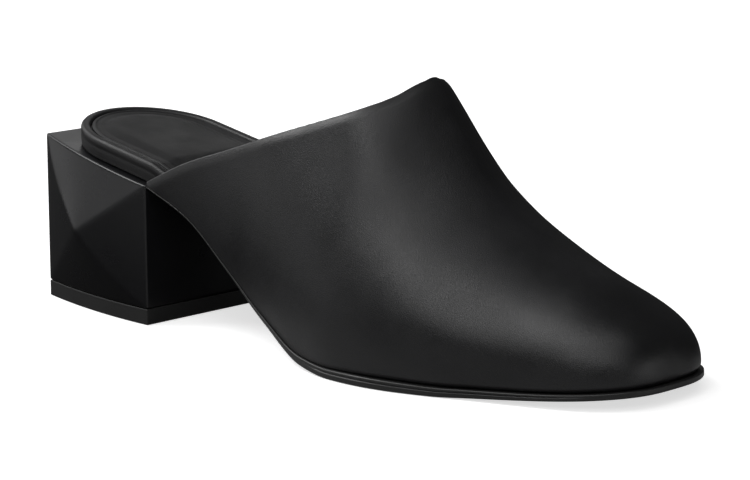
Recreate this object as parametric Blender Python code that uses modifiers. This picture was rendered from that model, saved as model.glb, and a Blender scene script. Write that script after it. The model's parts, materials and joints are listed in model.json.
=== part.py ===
"""Heeled mule, the right shoe of a pair: a closed-toe leather slip-on on a faceted block heel.

Frame in metres: +X towards the toe, +Y towards the foot's inner side, +Z up. The origin is
the centre of the heel's face on the floor. Lengths along the shoe are counted from the
heel's back edge and shifted by half the heel's length when a point is placed.
"""
import math
from collections import namedtuple

import bmesh
import bpy
import numpy as np
from mathutils import Vector

# Overall sizes
SHOE_LENGTH = 0.2505
BALL_WIDTH = 0.0905
INSTEP_HEIGHT = 0.0915
CLEARANCE = 0.0003

# Block heel and its top lift
HEEL_LENGTH = 0.060
HEEL_BACK_WIDTH = 0.050
HEEL_BREAST_WIDTH = 0.060
HEEL_BACK_HEIGHT = 0.0588
HEEL_BREAST_HEIGHT = 0.0486
HEEL_SIDE_BULGE = 0.0020
PYRAMID_RISE = 0.0080
UPPER_CREASE_BOW = 0.0024
LOWER_CREASE_BOW = 0.0020
TOP_LIFT_THICKNESS = 0.0055

# Outsole
SOLE_THICKNESS = 0.0034
TOE_THICKNESS = 0.0021
THINNING_START_SHARE = 0.56
THINNING_END_SHARE = 0.92
WAIST_THICKNESS = 0.0011
TOE_SPRING = 0.0045
SOLE_EDGE = 0.0011
TOE_ROUNDING = 0.0255
TOE_SQUARENESS = 3.0
TOE_SIDE_SHIFT = 0.0200
HEEL_FOLLOW_SHARE = 0.20

# Upper
WALL = 0.0016
COLLAR_START_RISE = 0.0014
COLLAR_PEAK_SHARE = 0.499
TOE_CAP_LENGTH = 0.0325
TOE_CAP_SQUARENESS = 2.6
TOP_ROW_CROWDING = 8.0
TOP_ROW_EASE = 0.6

# Wrapped footbed and its padded sock
FOOTBED_GAP = 0.0006
FOOTBED_RIM_HEIGHT = 0.0074
FOOTBED_FORE_THICKNESS = 0.0026
FOOTBED_BACK_INSET = 0.0045
FOOTBED_BACK_ROUNDING = 0.0285
RIM_BAND = 0.0038
RIM_FADE_SHARE = 0.30
SOCK_RECESS = 0.0016
SOCK_THICKNESS = 0.0011
SOCK_CROWN = 0.0006
SOCK_SIDE_SHARE = 0.7
SOCK_EDGE_SHARE = 0.5

# Mesh fineness
STATION_STEP = 0.0075
CAP_STEPS = 11
SIDE_STEPS = 15
FACET_STEPS = 6
PEAK_ZONE = 0.25
PEAK_STEPS = 7

FOREPART_LENGTH = SHOE_LENGTH - HEEL_LENGTH

# The last from the heel breast to the toe's tip. Each row is one section:
#   along     share of the length from the breast to the tip
#   outer     outsole's reach on the foot's outer side, share of the ball width
#   inner     outsole's reach on the foot's inner side, share of the ball width
#   arch      underside's height, share of its height at the breast
#   spring    underside's lift towards the tip, share of the toe spring
#   sole      share of the way from the waist's thickness to the forepart's
#   ridge_y   the instep ridge's place to the inner side, share of the ball width
#   ridge_z   the instep ridge's height, share of the instep height
#   side      fullness of the side wall
#   top       fullness of the top beside the ridge
#   lean      outward lean of the side wall at the sole, share of the height
LastRow = namedtuple("LastRow", "along outer inner arch spring sole ridge_y ridge_z side top lean")
LAST = tuple(LastRow(*row) for row in (
    (0.000, 0.331, 0.331, 1.000, 0.00, 0.00, 0.02, 1.730, 0.450, 0.45, 0.010),
    (0.105, 0.325, 0.309, 0.830, 0.00, 0.10, 0.04, 1.640, 0.440, 0.44, 0.010),
    (0.210, 0.328, 0.287, 0.526, 0.00, 0.30, 0.08, 1.500, 0.420, 0.43, 0.035),
    (0.315, 0.347, 0.315, 0.234, 0.00, 0.55, 0.11, 1.345, 0.390, 0.42, 0.090),
    (0.420, 0.375, 0.398, 0.030, 0.00, 0.80, 0.13, 1.165, 0.410, 0.43, 0.105),
    (0.499, 0.394, 0.506, 0.000, 0.00, 0.95, 0.15, 1.000, 0.440, 0.33, 0.105),
    (0.540, 0.392, 0.560, 0.000, 0.00, 1.00, 0.16, 0.860, 0.545, 0.21, 0.108),
    (0.600, 0.372, 0.605, 0.000, 0.00, 1.00, 0.17, 0.682, 0.650, 0.20, 0.108),
    (0.690, 0.305, 0.630, 0.000, 0.00, 1.00, 0.18, 0.538, 0.695, 0.20, 0.103),
    (0.760, 0.240, 0.628, 0.000, 0.16, 1.00, 0.19, 0.460, 0.715, 0.20, 0.075),
    (0.840, 0.171, 0.602, 0.000, 0.40, 1.00, 0.20, 0.390, 0.735, 0.24, 0.050),
    (0.920, 0.098, 0.560, 0.000, 0.70, 1.00, 0.21, 0.336, 0.745, 0.37, 0.065),
    (1.000, 0.015, 0.500, 0.000, 1.00, 1.00, 0.21, 0.306, 0.745, 0.51, 0.095),
))

LEVEL_COLUMNS = ("arch", "spring", "sole")

# The collar from the breast to its peak on the ridge, one row for each place along it:
#   run       share of the length from the breast to the peak
#   outer     share of the rise to the peak, on the foot's outer side
#   inner     share of the rise to the peak, on the foot's inner side
CollarRow = namedtuple("CollarRow", "run outer inner")
COLLAR = tuple(CollarRow(*row) for row in (
    (0.000, 0.000, 0.000), (0.200, 0.216, 0.246), (0.400, 0.378, 0.475), (0.600, 0.546, 0.668),
    (0.790, 0.704, 0.833), (0.915, 0.818, 0.929), (0.975, 0.904, 0.974), (1.000, 1.000, 1.000),
))

# The outsole's side, from its underside up: share of the edge's reach lost, share of height
SOLE_PROFILE = ((0.25, 0.00), (0.00, 0.12), (0.00, 0.56), (0.40, 0.62), (0.40, 0.70),
                (0.06, 0.76), (0.06, 0.94), (0.22, 1.00))
# The footbed's side, from its underside up: share of the rim's band, share of its height
RIM_PROFILE = ((0.20, 0.00), (0.05, 0.10), (0.00, 0.42), (0.06, 0.66), (0.22, 0.88),
               (0.46, 0.99), (0.76, 1.00), (1.00, 0.94))


def level_tangents(xs, ys):
    """Tangents of a curve that never passes its points: level where its neighbours are level."""
    slopes = [(ys[i + 1] - ys[i]) / (xs[i + 1] - xs[i]) for i in range(len(xs) - 1)]
    tangents = [slopes[0]]
    for before, after in zip(slopes, slopes[1:]):
        level = before * after <= 0
        tangents.append(0.0 if level else 2 * before * after / (before + after))
    return tangents + [slopes[-1]]


def fair_tangents(xs, ys):
    """Tangents of the natural cubic spline, whose curvature has no jumps."""
    last = len(xs) - 1
    matrix = np.zeros((last + 1, last + 1))
    right = np.zeros(last + 1)
    for i in range(last + 1):
        for j in (i - 1, i):
            if 0 <= j < last:
                h = xs[j + 1] - xs[j]
                other = j + 1 if j == i else j
                matrix[i, i] += 2 / h
                matrix[i, other] += 1 / h
                right[i] += 3 * (ys[j + 1] - ys[j]) / h ** 2
    return list(np.linalg.solve(matrix, right))


def through(pairs, tangents_of=fair_tangents):
    """A smooth curve through the pairs."""
    xs = [x for x, _ in pairs]
    ys = [y for _, y in pairs]
    tangents = tangents_of(xs, ys)

    def value(x):
        x = min(max(x, xs[0]), xs[-1])
        i = max(k for k in range(len(xs) - 1) if xs[k] <= x)
        h = xs[i + 1] - xs[i]
        t = (x - xs[i]) / h
        return ((2 * t ** 3 - 3 * t ** 2 + 1) * ys[i] + (t ** 3 - 2 * t ** 2 + t) * h * tangents[i]
                + (3 * t ** 2 - 2 * t ** 3) * ys[i + 1] + (t ** 3 - t ** 2) * h * tangents[i + 1])

    return value


def column(name):
    """A column of the last's table as a smooth function of the length from the heel's back."""
    tangents_of = level_tangents if name in LEVEL_COLUMNS else fair_tangents
    curve = through([(row.along, getattr(row, name)) for row in LAST], tangents_of)
    return lambda x: curve((x - HEEL_LENGTH) / FOREPART_LENGTH)


LAST_CURVES = {name: column(name) for name in LastRow._fields if name != "along"}


def heel_follow(x):
    """How far a width still follows the heel's own breast width: all of it at the breast."""
    return max(0.0, 1 - (x - HEEL_LENGTH) / (HEEL_FOLLOW_SHARE * FOREPART_LENGTH))


def reach(side, x):
    """The outsole's reach from the heel's centre line, on the outer (-1) or inner (+1) side."""
    name = "outer" if side < 0 else "inner"
    breast = HEEL_BREAST_WIDTH / 2 - getattr(LAST[0], name) * BALL_WIDTH
    return LAST_CURVES[name](x) * BALL_WIDTH + breast * heel_follow(x)


def edge(x):
    """How far the outsole stands out past the upper, none at the waist."""
    return SOLE_EDGE * LAST_CURVES["sole"](x)


def underside(x):
    """Height of the outsole's underside."""
    arch = LAST_CURVES["arch"](x) * (HEEL_BREAST_HEIGHT - WAIST_THICKNESS)
    return arch + LAST_CURVES["spring"](x) * TOE_SPRING


def sole_thickness(x):
    """Thickness of the outsole, thin at the waist and thinner again at the toe."""
    share = (x - HEEL_LENGTH) / FOREPART_LENGTH - THINNING_START_SHARE
    t = min(max(share / (THINNING_END_SHARE - THINNING_START_SHARE), 0.0), 1.0)
    thinned = (SOLE_THICKNESS - TOE_THICKNESS) * t * t * (3 - 2 * t)
    grown = (SOLE_THICKNESS - WAIST_THICKNESS) * LAST_CURVES["sole"](x)
    return WAIST_THICKNESS + grown - thinned


def seat(x):
    """Height of what the footbed lies on: the heel's top, then the outsole's top."""
    if x <= HEEL_LENGTH:
        return HEEL_BACK_HEIGHT + (HEEL_BREAST_HEIGHT - HEEL_BACK_HEIGHT) * x / HEEL_LENGTH
    return underside(x) + sole_thickness(x)


def placed(x, y, z):
    """A point of the shoe, from its length along the shoe, in the part's own frame."""
    return Vector((x - HEEL_LENGTH / 2, y, z))


def spread(start, end, count):
    """Evenly spaced lengths from start to end, both kept."""
    return [start + (end - start) * i / count for i in range(count + 1)]


def toe_cap_points(inset):
    """Lengths and width shares round the squared toe, the last one at the tip."""
    length = TOE_ROUNDING - inset
    start = SHOE_LENGTH - TOE_ROUNDING
    points = []
    for i in range(1, CAP_STEPS + 1):
        angle = math.pi / 2 * i / CAP_STEPS
        x = start + length * math.sin(angle) ** (2 / TOE_SQUARENESS)
        share = max(0.0, math.cos(angle)) ** (2 / TOE_SQUARENESS) if i < CAP_STEPS else 0.0
        points.append((x, share))
    return points


def forepart_stations(start, inset, extra=()):
    """Lengths and width shares from the start to the tip, closer together where it curves."""
    cap_start = SHOE_LENGTH - TOE_ROUNDING
    lengths = sorted(set(extra) | {start, cap_start})
    merged = []
    for a, b in zip(lengths, lengths[1:]):
        steps = max(1, round((b - a) / STATION_STEP))
        merged += spread(a, b, steps)[:-1]
    return [(x, 1.0) for x in merged + [cap_start]] + toe_cap_points(inset)


def outline_side(side, x, share, inset):
    """Plan place of the outline on one side, drawn in by the inset and closed at the toe."""
    full = side * (reach(side, x) - inset)
    return TOE_SIDE_SHIFT + (full - TOE_SIDE_SHIFT) * share if share < 1 else full


def named_material(name, colour, roughness, metallic=0.0):
    """A plain Principled material with the part's own colour."""
    material = bpy.data.materials.new(name)
    material.use_nodes = True
    shader = material.node_tree.nodes["Principled BSDF"]
    shader.inputs["Base Color"].default_value = (*colour, 1.0)
    shader.inputs["Roughness"].default_value = roughness
    shader.inputs["Metallic"].default_value = metallic
    return material


def finished(name, bm, collection, material, sharp=40):
    """Turns a bmesh into a named object with a material and smooth shading."""
    bmesh.ops.remove_doubles(bm, verts=bm.verts, dist=0.000002)
    bmesh.ops.recalc_face_normals(bm, faces=bm.faces)
    mesh = bpy.data.meshes.new(name)
    bm.to_mesh(mesh)
    bm.free()
    mesh.shade_smooth()
    mesh.set_sharp_from_angle(angle=math.radians(sharp))
    mesh.materials.append(material)
    piece = bpy.data.objects.new(name, mesh)
    collection.objects.link(piece)
    return piece


def add_grid(bm, rows):
    """Joins rows of equally many points with quads; returns the vertices by row."""
    made = [[bm.verts.new(point) for point in row] for row in rows]
    for low, high in zip(made, made[1:]):
        for i in range(len(low) - 1):
            bm.faces.new((low[i], low[i + 1], high[i + 1], high[i]))
    return made


def plate(stations, sides, levels, columns, crown):
    """A closed sheet lofted along the shoe.

    stations are (length, width share) pairs, sides(side, x, share, inset) gives the plan,
    levels are (inset, height function) pairs from the underside to the top, and the flat
    faces are filled with strips across, crowned by crown(x, place across) on the top.
    """
    bm = bmesh.new()
    rings = []
    for inset, height in levels:
        sections = []
        for x, share in stations:
            shift = inset * (1.0 if x > HEEL_LENGTH else -1.0)
            drawn = x - shift * math.sqrt(1 - share * share)
            across = [sides(side, x, share, inset) for side in (-1, 1)]
            sections.append([placed(drawn, y, height(drawn)) for y in across])
        rings.append(sections)
    for low, high in zip(rings, rings[1:]):
        for k in (0, 1):
            add_grid(bm, [[section[k] for section in low], [section[k] for section in high]])
    for ring, raised in ((rings[0], False), (rings[-1], True)):
        rows = []
        for (x, _), (outer, inner) in zip(stations, ring):
            row = []
            for j in range(columns + 1):
                t = j / columns
                point = outer.lerp(inner, t)
                if raised:
                    point.z += crown(x, t)
                row.append(point)
            rows.append(row)
        add_grid(bm, rows)
    for end in (0, -1):
        width = (rings[0][end][1] - rings[0][end][0]).length
        if width > CLEARANCE:
            rows = [[ring[end][0].lerp(ring[end][1], j / columns) for j in range(columns + 1)]
                    for ring in rings]
            add_grid(bm, rows)
    return bm


def outsole(collection, material):
    """Outsole from the breast to the toe, with a bead and a groove round its edge."""
    stations = forepart_stations(HEEL_LENGTH + CLEARANCE, 0.0, flat_spot())
    levels = []
    for lost, share in SOLE_PROFILE:
        levels.append((lost * SOLE_EDGE, lambda x, s=share: underside(x) + s * sole_thickness(x)))
    bm = plate(stations, outline_side, levels, 3, lambda x, t: 0.0)
    return finished("outsole", bm, collection, material)


def flat_spot():
    """Lengths between which the outsole lies flat on the floor."""
    flat = [row.along for row in LAST if row.arch == 0 and row.spring == 0]
    return [HEEL_LENGTH + along * FOREPART_LENGTH for along in (min(flat), max(flat))]


def peak_length():
    """Length at which the collar crosses the instep ridge."""
    return HEEL_LENGTH + COLLAR_PEAK_SHARE * FOREPART_LENGTH


COLLAR_CURVES = {
    -1: through([(row.run, row.outer) for row in COLLAR], level_tangents),
    1: through([(row.run, row.inner) for row in COLLAR], level_tangents),
}


def collar_height(side, x):
    """Height of the collar on one side at a length behind its peak."""
    start = HEEL_BREAST_HEIGHT + COLLAR_START_RISE
    run = (x - HEEL_LENGTH) / (peak_length() - HEEL_LENGTH)
    return start + COLLAR_CURVES[side](run) * (INSTEP_HEIGHT - start)


def lengths_to_peak():
    """Lengths behind the collar's peak, closer together as it is reached."""
    run = peak_length() - HEEL_LENGTH
    return [peak_length() - PEAK_ZONE * run * (k / PEAK_STEPS) ** 2 for k in range(PEAK_STEPS + 1)]


def cap_share(x):
    """Share of the ridge's height left near the toe, none at the upper's tip."""
    length = TOE_CAP_LENGTH - SOLE_EDGE
    u = min(max((x - (SHOE_LENGTH - TOE_CAP_LENGTH)) / length, 0.0), 1.0)
    return (1 - u ** TOE_CAP_SQUARENESS) ** (1 / TOE_CAP_SQUARENESS)


def upper_side(side, x, share):
    """Half a section of the upper as a cubic curve, from the sole's edge to the ridge."""
    foot = outline_side(side, x, share, edge(x))
    low = seat(x) + CLEARANCE
    height = (LAST_CURVES["ridge_z"](x) * INSTEP_HEIGHT - low) * cap_share(x)
    ridge = LAST_CURVES["ridge_y"](x) * BALL_WIDTH
    ridge = TOE_SIDE_SHIFT + (ridge - TOE_SIDE_SHIFT) * share
    lean = side * LAST_CURVES["lean"](x) * height
    return (
        (foot, low),
        (foot + lean, low + LAST_CURVES["side"](x) * height),
        (ridge + LAST_CURVES["top"](x) * (foot - ridge), low + height),
        (ridge, low + height),
    )


def on_curve(points, t):
    """Point at t on a cubic curve given by four points."""
    weights = ((1 - t) ** 3, 3 * (1 - t) ** 2 * t, 3 * (1 - t) * t ** 2, t ** 3)
    return tuple(sum(w * p[k] for w, p in zip(weights, points)) for k in (0, 1))


def reaches(points, height):
    """Place on the curve where it comes to a height, by halving."""
    low, high = 0.0, 1.0
    for _ in range(40):
        middle = (low + high) / 2
        if on_curve(points, middle)[1] < height:
            low = middle
        else:
            high = middle
    return high


def row_shares(top):
    """Places along a section up to its top: evenly spread, and crowded only beside a cut top."""
    crowding = max(1.0, min(TOP_ROW_CROWDING, TOP_ROW_EASE / max(1 - top, CLEARANCE)))
    shares = spread(0.0, 1.0, SIDE_STEPS)
    return [share - (1 - top) * share ** crowding for share in shares]


def upper(collection, material):
    """Vamp in one skin: two wings behind the collar's peak that join over the instep."""
    peak = peak_length()
    stations = forepart_stations(HEEL_LENGTH + CLEARANCE, SOLE_EDGE, lengths_to_peak())
    bm = bmesh.new()
    for side in (-1, 1):
        rows = []
        for x, share in stations:
            curve = upper_side(side, x, share)
            top = reaches(curve, collar_height(side, x)) if x < peak - CLEARANCE else 1.0
            rows.append([placed(x, *on_curve(curve, t)) for t in row_shares(top)])
        add_grid(bm, rows)
    piece = finished("upper", bm, collection, material, sharp=60)
    shell = piece.modifiers.new("wall", "SOLIDIFY")
    shell.thickness = WALL
    shell.offset = -1
    shell.use_even_offset = True
    return piece


def footbed_reach(side, x, inset):
    """The footbed's own reach: inside the upper, and rounded at the heel."""
    half = reach(side, max(x, HEEL_LENGTH)) - edge(max(x, HEEL_LENGTH)) - WALL - FOOTBED_GAP
    return half - inset


def footbed_side(side, x, share, inset):
    """Plan place of the footbed's outline, closed at both ends."""
    full = side * footbed_reach(side, x, inset)
    centre = TOE_SIDE_SHIFT if x > HEEL_LENGTH else 0.0
    return centre + (full - centre) * share


def footbed_stations(inset):
    """Lengths and width shares of the footbed from its round back to its tip."""
    back_centre = FOOTBED_BACK_INSET + FOOTBED_BACK_ROUNDING
    stations = []
    for i in range(CAP_STEPS):
        angle = math.pi / 2 * i / CAP_STEPS
        stations.append((back_centre - FOOTBED_BACK_ROUNDING * math.cos(angle), math.sin(angle)))
    drawn = SOLE_EDGE + WALL + FOOTBED_GAP + inset
    forward = forepart_stations(back_centre, drawn, (HEEL_LENGTH,))
    return stations + forward


def footbed_height(x):
    """Thickness of the footbed: the rim's height at the heel, thin under the foot's ball."""
    share = min(max((x - HEEL_LENGTH) / (RIM_FADE_SHARE * FOREPART_LENGTH), 0.0), 1.0)
    ease = share * share * (3 - 2 * share)
    return FOOTBED_RIM_HEIGHT + (FOOTBED_FORE_THICKNESS - FOOTBED_RIM_HEIGHT) * ease


def footbed(collection, material):
    """Wrapped board with a rolled rim round its edge and a recess for the sock."""
    levels = []
    for drawn, share in RIM_PROFILE:
        levels.append((drawn * RIM_BAND,
                       lambda x, s=share: seat(x) + CLEARANCE + s * footbed_height(x)))
    levels.append((RIM_BAND, lambda x: seat(x) + CLEARANCE + footbed_height(x) - SOCK_RECESS))
    bm = plate(footbed_stations(0.0), footbed_side, levels, 4, lambda x, t: 0.0)
    return finished("footbed", bm, collection, material)


def sock(collection, material):
    """Thin padded sock lying in the footbed's recess."""
    gap = RIM_BAND + CLEARANCE

    def base(x):
        return seat(x) + 2 * CLEARANCE + footbed_height(x) - SOCK_RECESS

    levels = [(gap, base), (gap, lambda x: base(x) + SOCK_SIDE_SHARE * SOCK_THICKNESS),
              (gap + SOCK_EDGE_SHARE * SOCK_THICKNESS, lambda x: base(x) + SOCK_THICKNESS)]
    bm = plate(footbed_stations(0.0), footbed_side, levels, 6,
               lambda x, t: SOCK_CROWN * (1 - (2 * t - 1) ** 2))
    return finished("sock_lining", bm, collection, material)


def heel_plan(count):
    """Outer side of the heel's plan from back to breast, as (length, half width) pairs."""
    pairs = []
    for x in spread(0.0, HEEL_LENGTH, count):
        share = x / HEEL_LENGTH
        half = (HEEL_BACK_WIDTH + (HEEL_BREAST_WIDTH - HEEL_BACK_WIDTH) * share) / 2
        pairs.append((x, half + 4 * HEEL_SIDE_BULGE * share * (1 - share)))
    return pairs


def heel_top(x):
    """Height of the block's top face."""
    return seat(min(x, HEEL_LENGTH))


def evenly(start, end):
    """Points from start to end, as many as a facet has."""
    return [start.lerp(end, k / FACET_STEPS) for k in range(FACET_STEPS + 1)]


def facet(bm, base, crease_a, crease_b, apex):
    """One facet of a pyramid between two bowed creases, from its base edge to the apex."""
    steps = len(crease_a) - 1
    rows = []
    for k in range(steps):
        s = k / steps
        row = []
        for j, point in enumerate(base):
            t = j / (len(base) - 1)
            straight = base[0].lerp(base[-1], t)
            row.append(crease_a[k].lerp(crease_b[k], t) + (point - straight) * (1 - s))
        rows.append(row)
    rows.append([apex.copy() for _ in base])
    add_grid(bm, rows)


def bowed(corner, apex, bow):
    """Points from a corner to the apex, bowed sideways in the middle."""
    return [corner.lerp(apex, k / FACET_STEPS) + bow * 4 * (k / FACET_STEPS) * (1 - k / FACET_STEPS)
            for k in range(FACET_STEPS + 1)]


def pyramid(bm, low_edge, high_edge, outwards, bows):
    """A raised four-sided pyramid over a face between two edges that run the same way."""
    corners = (low_edge[0], high_edge[0], high_edge[-1], low_edge[-1])
    apex = sum(corners, Vector()) / 4 + outwards * (PYRAMID_RISE + HEEL_SIDE_BULGE)
    creases = [bowed(corner, apex, bow) for corner, bow in zip(corners, bows)]
    upright_a = evenly(corners[0], corners[1])
    upright_b = evenly(corners[3], corners[2])
    facet(bm, low_edge, creases[0], creases[3], apex)
    facet(bm, high_edge, creases[1], creases[2], apex)
    facet(bm, upright_a, creases[0], creases[1], apex)
    facet(bm, upright_b, creases[3], creases[2], apex)


def heel_block(collection, material):
    """Block with a pyramid on each side and on the back, and a flat breast."""
    floor = TOP_LIFT_THICKNESS + CLEARANCE
    plan = heel_plan(FACET_STEPS + 1)
    bm = bmesh.new()
    still = Vector((0, 0, 0))
    bows = (still, Vector((-UPPER_CREASE_BOW, 0, 0)), still, Vector((0, 0, -LOWER_CREASE_BOW)))
    edges = {}
    for side in (-1, 1):
        low = [placed(x, side * half, floor) for x, half in plan]
        high = [placed(x, side * half, heel_top(x)) for x, half in plan]
        edges[side] = (low, high)
        pyramid(bm, low, high, Vector((0, side, 0)), bows)
    back = [evenly(edges[-1][k][0], edges[1][k][0]) for k in (0, 1)]
    pyramid(bm, back[0], back[1], Vector((-1, 0, 0)), (still,) * 4)
    for k in (0, 1):
        add_grid(bm, [evenly(a, b) for a, b in zip(edges[-1][k], edges[1][k])])
    low_breast, high_breast = [evenly(edges[-1][k][-1], edges[1][k][-1]) for k in (0, 1)]
    add_grid(bm, list(zip(*[evenly(low, high) for low, high in zip(low_breast, high_breast)])))
    return finished("heel_block", bm, collection, material, sharp=8)


def top_lift(collection, material):
    """Flat rubber lift with the heel's plan, as an outline with half its thickness each way."""
    plan = heel_plan(2 * FACET_STEPS)
    loop = [placed(x, -half, 0) for x, half in plan]
    loop += [placed(x, half, 0) for x, half in reversed(plan)]
    curve = bpy.data.curves.new("top_lift", "CURVE")
    curve.dimensions = "2D"
    curve.fill_mode = "BOTH"
    curve.extrude = TOP_LIFT_THICKNESS / 2
    spline = curve.splines.new("POLY")
    spline.points.add(len(loop) - 1)
    for point, corner in zip(spline.points, loop):
        point.co = (corner.x, corner.y, 0.0, 1.0)
    spline.use_cyclic_u = True
    curve.materials.append(material)
    piece = bpy.data.objects.new("top_lift", curve)
    piece.location.z = TOP_LIFT_THICKNESS / 2
    collection.objects.link(piece)
    return piece


def main():
    """Clears the scene and builds the mule's six pieces."""
    for old in list(bpy.data.objects):
        bpy.data.objects.remove(old, do_unlink=True)
    collection = bpy.data.collections.new("heeled_mule")
    bpy.context.scene.collection.children.link(collection)
    calf = named_material("black_calf", (0.012, 0.012, 0.013), 0.42)
    wrapped = named_material("wrapped_footbed", (0.015, 0.015, 0.016), 0.50)
    lacquer = named_material("heel_lacquer", (0.010, 0.010, 0.011), 0.35)
    sole_leather = named_material("sole_edge", (0.010, 0.010, 0.010), 0.40)
    rubber = named_material("lift_rubber", (0.022, 0.022, 0.022), 0.60)
    outsole(collection, sole_leather)
    upper(collection, calf)
    footbed(collection, wrapped)
    sock(collection, wrapped)
    heel_block(collection, lacquer)
    top_lift(collection, rubber)


main()
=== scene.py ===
"""Looks of a heeled mule in black calf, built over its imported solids.

Frame in metres: +X towards the toe, +Y towards the foot's inner side, +Z up, with the origin at
the centre of the heel's face on the floor. Lengths along the shoe are counted from the heel's
back edge, and Last.place shifts them into the frame.
"""
from __future__ import annotations

import json
import logging
import math
from dataclasses import dataclass
from enum import Enum
from functools import cache
from typing import Callable

import bmesh
import bpy
import numpy as np
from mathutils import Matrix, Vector

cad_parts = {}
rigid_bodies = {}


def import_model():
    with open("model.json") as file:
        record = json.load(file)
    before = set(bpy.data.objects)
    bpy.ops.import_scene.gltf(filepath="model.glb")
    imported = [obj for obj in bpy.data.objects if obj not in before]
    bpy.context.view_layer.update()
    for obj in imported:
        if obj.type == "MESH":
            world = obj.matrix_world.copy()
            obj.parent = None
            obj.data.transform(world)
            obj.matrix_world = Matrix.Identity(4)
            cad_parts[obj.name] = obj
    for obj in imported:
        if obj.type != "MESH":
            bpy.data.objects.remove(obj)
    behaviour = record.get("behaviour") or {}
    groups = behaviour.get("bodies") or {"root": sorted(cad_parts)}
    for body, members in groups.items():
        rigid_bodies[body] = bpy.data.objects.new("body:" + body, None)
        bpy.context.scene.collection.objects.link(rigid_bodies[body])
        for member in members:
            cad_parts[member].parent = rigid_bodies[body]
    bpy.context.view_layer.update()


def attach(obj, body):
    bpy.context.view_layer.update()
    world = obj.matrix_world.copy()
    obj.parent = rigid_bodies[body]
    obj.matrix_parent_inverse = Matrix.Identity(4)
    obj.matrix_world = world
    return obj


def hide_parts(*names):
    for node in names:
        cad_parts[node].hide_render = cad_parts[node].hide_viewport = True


LOG = logging.getLogger("mule")
BODY = "root"
MERGE = 0.000002
TINY = 1e-12
NO_SPAN = 1e-9
# how near a cube's face or edge a vertex counts as lying on it
ON_FACE = 1e-4
BISECTIONS = 40
# scale and detail of the noises in leather, and how far the grain's cells are warped
WARP_NOISE, PORE_NOISE = (900.0, 2.0), (2600.0, 3.0)
TONE_NOISE, POLISH_NOISE, CREASE_NOISE = (28.0, 3.0), (75.0, 4.0), (560.0, 2.0)
CELL_WARP = 0.0004

Array = np.ndarray
Socket = bpy.types.NodeSocket
Node = bpy.types.Node
Thing = bpy.types.Object
Mesh = bmesh.types.BMesh
Pair = tuple[float, float]
Triple = tuple[float, float, float]
Levels = list[tuple[Array, Array]]


class Side(Enum):
    """The two sides of the foot, as the sign of their direction along Y."""

    OUTER = -1
    INNER = 1


class Slope(Enum):
    """How a curve passes its points."""

    FAIR = "natural cubic, no jumps of curvature"
    LEVEL = "level where its neighbours are level"


class Curve:
    """A smooth curve through a few points, read for whole arrays at once."""

    def __init__(self, xs: tuple[float, ...], ys: tuple[float, ...], slope: Slope) -> None:
        """Works out the tangents.

        Args:
            xs: places of the points, rising.
            ys: values at those places.
            slope: how the curve passes its points.
        """
        self.xs = np.array(xs, float)
        self.ys = np.array(ys, float)
        self.tangents = self._fair() if slope is Slope.FAIR else self._level()

    def _fair(self) -> Array:
        """Tangents of the natural cubic spline."""
        h = np.diff(self.xs)
        rise = 3 * np.diff(self.ys) / h ** 2
        matrix = np.diag(np.append(2 / h, 0) + np.append(0, 2 / h))
        matrix += np.diag(1 / h, 1) + np.diag(1 / h, -1)
        return np.linalg.solve(matrix, np.append(rise, 0) + np.append(0, rise))

    def _level(self) -> Array:
        """Tangents that never let the curve pass its points."""
        slopes = np.diff(self.ys) / np.diff(self.xs)
        before, after = slopes[:-1], slopes[1:]
        total = np.where(before * after > 0, before + after, 1.0)
        inner = np.where(before * after > 0, 2 * before * after / total, 0.0)
        return np.concatenate([slopes[:1], inner, slopes[-1:]])

    def __call__(self, x: Array | float) -> Array:
        """Reads the curve.

        Args:
            x: the places.

        Returns:
            The values, held level past both ends.
        """
        x = np.clip(np.asarray(x, float), self.xs[0], self.xs[-1])
        i = np.clip(np.searchsorted(self.xs, x, side="right") - 1, 0, len(self.xs) - 2)
        h = self.xs[i + 1] - self.xs[i]
        t = (x - self.xs[i]) / h
        start = (2 * t ** 3 - 3 * t ** 2 + 1) * self.ys[i]
        leave = (t ** 3 - 2 * t ** 2 + t) * h * self.tangents[i]
        end = (3 * t ** 2 - 2 * t ** 3) * self.ys[i + 1]
        arrive = (t ** 3 - t ** 2) * h * self.tangents[i + 1]
        return start + leave + end + arrive


def smooth_step(x: Array, low: float, high: float) -> Array:
    """Rises softly from 0 at low to 1 at high."""
    t = np.clip((np.asarray(x, float) - low) / (high - low), 0.0, 1.0)
    return t * t * (3 - 2 * t)


def rounded_off(u: Array, squareness: float) -> Array:
    """Share that is left where a form rounds off as u goes from 0 to 1."""
    return (1 - np.clip(u, 0.0, 1.0) ** squareness) ** (1 / squareness)


def crowded(start: float, end: float, count: int, power: int) -> Array:
    """Places from start to end that crowd towards the end."""
    return start + (end - start) * (1 - (1 - np.linspace(0.0, 1.0, count)) ** power)


def eased(count: int, ease: float) -> Array:
    """Steps from 0 to 1 that crowd towards both ends."""
    s = np.linspace(0.0, 1.0, count + 1)
    return s - ease * np.sin(2 * math.pi * s) / (2 * math.pi)


def run_of(points: Array) -> Array:
    """Length run along the first axis of rows of points, from 0."""
    steps = np.linalg.norm(np.diff(points, axis=0), axis=-1)
    return np.concatenate([np.zeros_like(steps[:1]), np.cumsum(steps, axis=0)])


def unit(vectors: Array) -> Array:
    """The vectors at length 1."""
    return vectors / np.maximum(np.linalg.norm(vectors, axis=-1, keepdims=True), TINY)


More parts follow.
